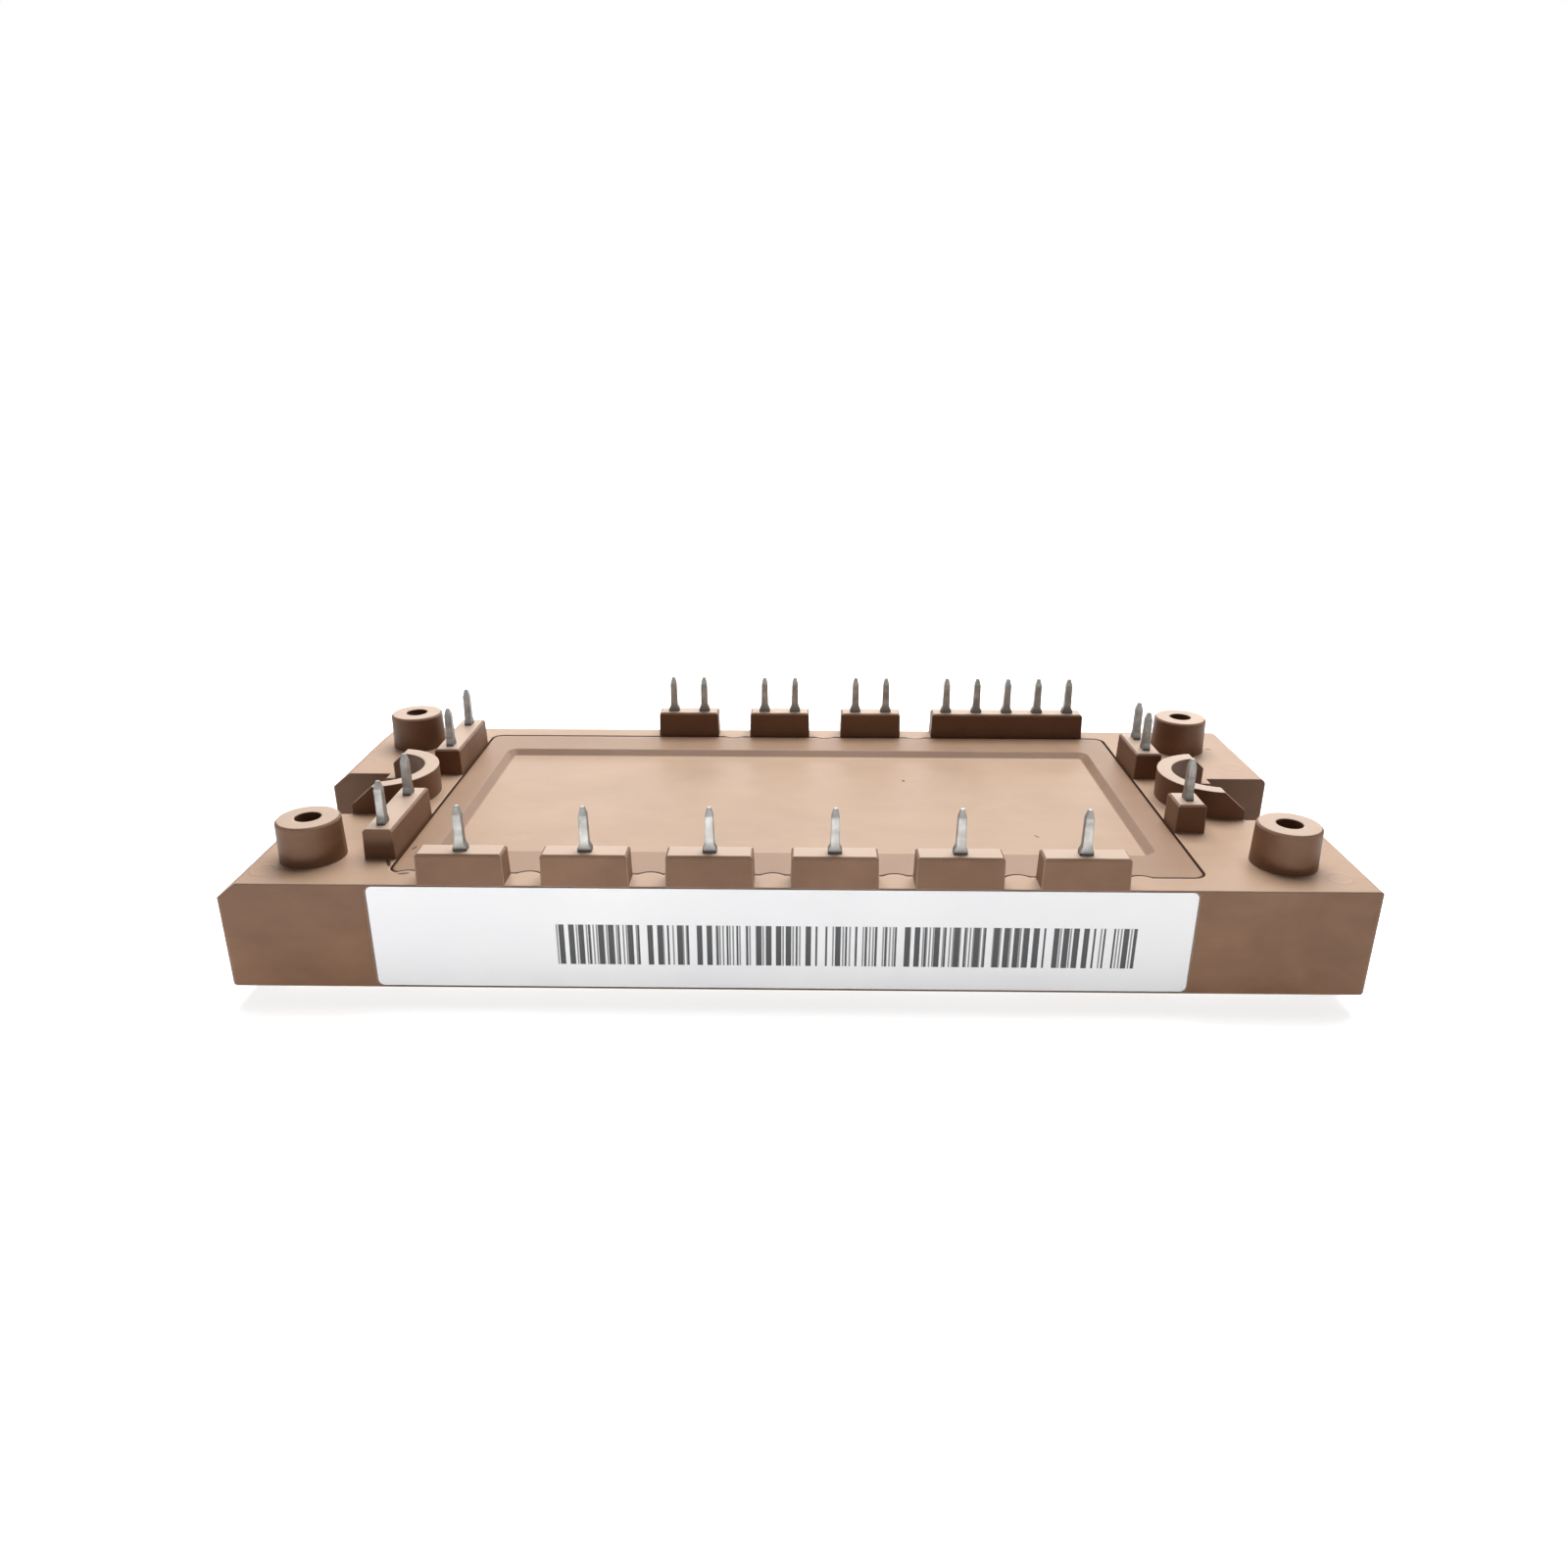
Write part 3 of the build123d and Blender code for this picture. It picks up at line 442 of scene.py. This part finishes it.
def moulded_pps(name, tones, nicks, rings):
    dark, middle, pale, top_light, recess_light, rubbed_and_highlight = tones
    material, tree = new_material(name)
    clouds = add_node(
        tree, "ShaderNodeTexNoise", {"Vector": millimetres(tree)},
        {"Scale": 1 / CLOUD_MM, "Detail": 3.0, "Distortion": 0.6},
    )
    fibres = add_node(
        tree, "ShaderNodeTexNoise", {"Vector": millimetres(tree, (FIBRE_LENGTH, 1, 1))},
        {"Scale": 1 / FIBRE_MM, "Detail": 4.0},
    )
    grain = add_node(
        tree, "ShaderNodeTexNoise", {"Vector": millimetres(tree)},
        {"Scale": 1 / GRAIN_MM, "Detail": 2.0},
    )
    flow = add_node(
        tree, "ShaderNodeMix", {"A": clouds.outputs["Fac"], "B": fibres.outputs["Fac"]},
        {"Factor": FIBRE_SHARE},
    ).outputs["Result"]
    body = add_node(
        tree, "ShaderNodeValToRGB", {"Fac": flow},
        stops=tuple(zip(CLOUD_TURN, (dark, middle, pale))),
    )

    face = add_node(tree, "ShaderNodeNewGeometry").outputs["Normal"]
    slope = add_node(tree, "ShaderNodeSeparateXYZ", {"Vector": face})
    height = add_node(tree, "ShaderNodeSeparateXYZ", {"Vector": millimetres(tree)}).outputs["Z"]
    # Painted light: faces that lie upwards pale unevenly towards a lighter tone, with a tone of
    # its own on the recess floor.
    upward = add_node(
        tree, "ShaderNodeMapRange", {"Value": slope.outputs["Z"]},
        {"From Min": TOP_LIGHT_STEEPEST, "To Max": TOP_LIGHT_SHARE}, interpolation_type="SMOOTHSTEP",
    )
    sunk = add_node(
        tree, "ShaderNodeMapRange", {"Value": height},
        {"From Min": RECESS_BLEND[0], "From Max": RECESS_BLEND[1]},
    )
    film_and_top_light = add_node(
        tree, "ShaderNodeMix", {"Factor": sunk.outputs[0]},
        {"A": linear(top_light), "B": linear(recess_light)},
        data_type="RGBA",
    )
    uneven = add_node(
        tree, "ShaderNodeMapRange", {"Value": flow},
        {"To Min": TOP_LIGHT_UNEVEN[0], "To Max": TOP_LIGHT_UNEVEN[1]},
    )
    patchy_top_light = add_node(
        tree, "ShaderNodeMath", {0: upward.outputs[0], 1: uneven.outputs[0]},
        operation="MULTIPLY",
    )
    top_lit = add_node(
        tree, "ShaderNodeMix",
        {"Factor": patchy_top_light.outputs[0], "A": body.outputs[0], "B": film_and_top_light.outputs["Result"]},
        data_type="RGBA",
    )

    # Raised faces that lie upwards pale: rub wear with a painted highlight.
    proud = add_node(
        tree, "ShaderNodeMapRange", {"Value": height},
        {"From Min": RUB_AND_HIGHLIGHT_FROM, "From Max": RUB_AND_HIGHLIGHT_TO, "To Max": RUB_AND_HIGHLIGHT_SHARE},
        interpolation_type="SMOOTHSTEP",
    )
    rubbed_and_lit_top = add_node(
        tree, "ShaderNodeMath", {0: proud.outputs[0], 1: upward.outputs[0]},
        operation="MULTIPLY",
    )
    handled_and_lit = add_node(
        tree, "ShaderNodeMix",
        {"Factor": rubbed_and_lit_top.outputs[0], "A": top_lit.outputs["Result"]},
        {"B": linear(rubbed_and_highlight)}, data_type="RGBA",
    )
    # Edges pale along their rounding: a painted highlight, with some rub wear.
    rounded = add_node(
        tree, "ShaderNodeBevel", values={"Radius": EDGE_MM * MM}, samples=BEVEL_SAMPLES,
    )
    turn = add_node(
        tree, "ShaderNodeVectorMath", {0: rounded.outputs[0], 1: face}, operation="DOT_PRODUCT",
    )
    edge = add_node(
        tree, "ShaderNodeMapRange", {"Value": turn.outputs["Value"]},
        {"From Min": EDGE_BENT[0], "From Max": EDGE_BENT[1], "To Max": RUB_AND_HIGHLIGHT_SHARE},
    )
    tone = add_node(
        tree, "ShaderNodeMix", {"Factor": edge.outputs[0], "A": handled_and_lit.outputs["Result"]},
        {"B": linear(rubbed_and_highlight)}, data_type="RGBA",
    ).outputs["Result"]
    for centre, radii, turned in nicks:
        tone = add_node(
            tree, "ShaderNodeMix", {"Factor": mark(tree, centre, radii, turned), "A": tone},
            {"B": linear(NICK_TONE)}, data_type="RGBA",
        ).outputs["Result"]

    raised = grain.outputs["Fac"]
    for x, y in rings:
        inner_radius = RING_RADIUS - RING_WIDTH
        outer = mark(tree, (x, y, CASE_TOP), (RING_RADIUS, RING_RADIUS, MARK_DEPTH))
        inner = mark(tree, (x, y, CASE_TOP), (inner_radius, inner_radius, MARK_DEPTH))
        ridge = add_node(tree, "ShaderNodeMath", {0: outer, 1: inner}, operation="SUBTRACT")
        raised = add_node(
            tree, "ShaderNodeMath", {0: ridge.outputs[0], 2: raised}, {1: RING_HEIGHT},
            operation="MULTIPLY_ADD",
        ).outputs[0]
    relief = add_node(
        tree, "ShaderNodeBump", {"Height": raised, "Normal": rounded.outputs[0]},
        {"Strength": 0.35, "Distance": 0.04 * MM},
    )
    waves = add_node(
        tree, "ShaderNodeBump", {"Height": clouds.outputs["Fac"], "Normal": relief.outputs[0]},
        {"Strength": 0.3, "Distance": 0.4 * MM},
    )
    polish = add_node(
        tree, "ShaderNodeMapRange", {"Value": fibres.outputs["Fac"]},
        {"To Min": 0.44, "To Max": 0.60},
    )
    surface = add_node(
        tree, "ShaderNodeBsdfPrincipled",
        {"Base Color": tone, "Roughness": polish.outputs[0], "Normal": waves.outputs[0]},
        {"Specular IOR Level": 0.3},
    )
    add_node(tree, "ShaderNodeOutputMaterial", {"Surface": surface.outputs[0]})
    return material


dress(["case_frame"], moulded_pps("moulded_brown_pps", CASE_TONES, CASE_NICKS, CASE_RINGS))


# Pins: copper strip, tinned and cut to a point. The tin is dull, with draw lines
# along the pin, and painted shade darkens its foot where it comes out of the plastic.
PIN_COUNT = 24
PIN_EDGE_MM = 0.18
DRAW_LINE_MM = 0.33
DRAW_LENGTH_MM = 4.0
TIN_SPOT_MM = 1.1
FOOT_DARK = 15.9
FOOT_CLEAR = 17.3

pin_material, tree = new_material("matt_tinned_copper")
streaks = add_node(
    tree, "ShaderNodeTexNoise",
    {"Vector": millimetres(tree, (DRAW_LINE_MM, DRAW_LINE_MM, DRAW_LENGTH_MM))},
    {"Scale": 1.0, "Detail": 3.0},
)
spots = add_node(
    tree, "ShaderNodeTexNoise", {"Vector": millimetres(tree)},
    {"Scale": 1 / TIN_SPOT_MM, "Detail": 3.0},
)
tin = add_node(
    tree, "ShaderNodeValToRGB", {"Fac": spots.outputs["Fac"]},
    stops=((0.3, "#7C7A77"), (0.7, "#A3A19D")),
)
height = add_node(tree, "ShaderNodeSeparateXYZ", {"Vector": millimetres(tree)})
# Painted shade: the tin darkens towards the foot of each pin.
foot = add_node(
    tree, "ShaderNodeMapRange", {"Value": height.outputs["Z"]},
    {"From Min": FOOT_CLEAR, "From Max": FOOT_DARK},
    interpolation_type="SMOOTHSTEP",
)
shaded_foot = add_node(
    tree, "ShaderNodeMix", {"Factor": foot.outputs[0], "A": tin.outputs[0]},
    {"B": linear("#6A6967")},
    data_type="RGBA",
)
polish = add_node(
    tree, "ShaderNodeMapRange", {"Value": streaks.outputs["Fac"]},
    {"To Min": 0.40, "To Max": 0.58},
)
rounded = add_node(
    tree, "ShaderNodeBevel", values={"Radius": PIN_EDGE_MM * MM}, samples=BEVEL_SAMPLES,
)
relief = add_node(
    tree, "ShaderNodeBump", {"Height": streaks.outputs["Fac"], "Normal": rounded.outputs[0]},
    {"Strength": 0.4, "Distance": 0.04 * MM},
)
surface = add_node(
    tree, "ShaderNodeBsdfPrincipled",
    {
        "Base Color": shaded_foot.outputs["Result"], "Roughness": polish.outputs[0],
        "Normal": relief.outputs[0],
    },
    {"Metallic": 1.0},
)
add_node(tree, "ShaderNodeOutputMaterial", {"Surface": surface.outputs[0]})
dress([f"terminal_pin_{number:02d}" for number in range(1, PIN_COUNT + 1)], pin_material)


# Bond wires: drawn aluminium, pressed on by ultrasound at both ends. Bright, with
# fine lines from the drawing die.
WIRE_LINE_MM = (0.12, 2.0, 0.5)

wire_material, tree = new_material("drawn_aluminium_wire")
drawn = add_node(
    tree, "ShaderNodeTexNoise", {"Vector": millimetres(tree, WIRE_LINE_MM)},
    {"Scale": 1.0, "Detail": 2.0},
)
tone = add_node(
    tree, "ShaderNodeValToRGB", {"Fac": drawn.outputs["Fac"]},
    stops=((0.3, "#D3D5D7"), (0.7, "#E9EAEB")),
)
surface = add_node(
    tree, "ShaderNodeBsdfPrincipled", {"Base Color": tone.outputs[0]},
    {"Metallic": 1.0, "Roughness": 0.3},
)
add_node(tree, "ShaderNodeOutputMaterial", {"Surface": surface.outputs[0]})
dress(["power_wires", "gate_wires", "terminal_wires"], wire_material)


# Gel: clear soft silicone, poured and cured over chips and wires. Its surface
# is smooth, with a slow ripple.
RIPPLE_MM = 10.0

gel_material, tree = new_material("clear_silicone_gel")
ripple = add_node(
    tree, "ShaderNodeTexNoise", {"Vector": millimetres(tree)},
    {"Scale": 1 / RIPPLE_MM, "Detail": 1.0},
)
relief = add_node(
    tree, "ShaderNodeBump", {"Height": ripple.outputs["Fac"]},
    {"Strength": 0.2, "Distance": 0.3 * MM},
)
surface = add_node(
    tree, "ShaderNodeBsdfPrincipled", {"Normal": relief.outputs[0]},
    {
        "Base Color": linear("#EEF1EE"), "Roughness": 0.08, "IOR": 1.41,
        "Transmission Weight": 0.9,
    },
)
add_node(tree, "ShaderNodeOutputMaterial", {"Surface": surface.outputs[0]})
dress(["silicone_gel"], gel_material)


# Lid: the same plastic, moulded apart and glued into its seat. Painted light
# makes the floor of its recess paler than the border; it has a few specks.
LID_TONES = ("#6E4F39", "#7A5A43", "#85654E", "#A0826A", "#C6A990", "#E4D6CA")
LID_NICKS = (
    ((12.3, 6.3, RECESS_FLOOR), (0.22, 0.3, MARK_DEPTH), 0.0),
    ((24.6, -9.2, RECESS_FLOOR), (0.12, 0.45, MARK_DEPTH), 35.0),
    ((-37.6, -14.4, CASE_TOP), (0.16, 0.5, MARK_DEPTH), -20.0),
)
dress(["lid"], moulded_pps("moulded_brown_pps_lid", LID_TONES, LID_NICKS, ()))


# Label: white polyester film with an adhesive back. It carries a plain field of
# black bars with fine grey lines between them, which stand for no number.
BAR_STEP = 0.92
LINE_STEP = 0.31
LINE_INK = 0.75
BAR_FIELD = (("X", -22.4, 31.6), ("Z", 4.75, 8.95))
FILM_WAVE_MM = 4.0
FILM_TONE_MM = 12.5


def stripes(tree, along, step, share, narrow, wide):
    column = add_node(tree, "ShaderNodeMath", {0: along}, {1: step}, operation="DIVIDE")
    count = add_node(tree, "ShaderNodeMath", {0: column.outputs[0]}, operation="FLOOR")
    across = add_node(tree, "ShaderNodeMath", {0: column.outputs[0]}, operation="FRACT")
    pick = add_node(
        tree, "ShaderNodeTexWhiteNoise", {"W": count.outputs[0]}, noise_dimensions="1D",
    )
    chosen = add_node(
        tree, "ShaderNodeMath", {0: pick.outputs["Value"]}, {1: share}, operation="LESS_THAN",
    )
    width = add_node(
        tree, "ShaderNodeMapRange", {"Value": chosen.outputs[0]},
        {"To Min": narrow, "To Max": wide},
    )
    return add_node(
        tree, "ShaderNodeMath", {0: across.outputs[0], 1: width.outputs[0]},
        operation="LESS_THAN",
    ).outputs[0]


label_material, tree = new_material("white_polyester_film")
place = add_node(tree, "ShaderNodeSeparateXYZ", {"Vector": millimetres(tree)})
bars = stripes(tree, place.outputs["X"], BAR_STEP, share=0.5, narrow=0.2, wide=0.56)
lines = stripes(tree, place.outputs["X"], LINE_STEP, share=0.5, narrow=0.0, wide=0.5)
faint = add_node(tree, "ShaderNodeMath", {0: lines}, {1: LINE_INK}, operation="MULTIPLY")
ink = add_node(
    tree, "ShaderNodeMath", {0: bars, 1: faint.outputs[0]}, operation="MAXIMUM",
).outputs[0]
for axis, start, finish in BAR_FIELD:
    for kind, limit in (("GREATER_THAN", start), ("LESS_THAN", finish)):
        inside = add_node(
            tree, "ShaderNodeMath", {0: place.outputs[axis]}, {1: limit}, operation=kind,
        )
        ink = add_node(
            tree, "ShaderNodeMath", {0: ink, 1: inside.outputs[0]}, operation="MULTIPLY",
        ).outputs[0]
haze = add_node(
    tree, "ShaderNodeTexNoise", {"Vector": millimetres(tree)},
    {"Scale": 1 / FILM_TONE_MM, "Detail": 2.0},
)
film_and_top_light = add_node(
    tree, "ShaderNodeValToRGB", {"Fac": haze.outputs["Fac"]},
    stops=((0.3, "#E8E8EA"), (0.7, "#EEEEEF")),
)
printed = add_node(
    tree, "ShaderNodeMix", {"Factor": ink, "A": film_and_top_light.outputs[0]}, {"B": linear("#17171A")},
    data_type="RGBA",
)
wave = add_node(
    tree, "ShaderNodeTexNoise", {"Vector": millimetres(tree)},
    {"Scale": 1 / FILM_WAVE_MM, "Detail": 2.0},
)
relief = add_node(
    tree, "ShaderNodeBump", {"Height": wave.outputs["Fac"]},
    {"Strength": 0.15, "Distance": 0.1 * MM},
)
surface = add_node(
    tree, "ShaderNodeBsdfPrincipled",
    {"Base Color": printed.outputs["Result"], "Normal": relief.outputs[0]},
    {"Roughness": 0.38, "IOR": 1.57},
)
add_node(tree, "ShaderNodeOutputMaterial", {"Surface": surface.outputs[0]})
dress(["label"], label_material)
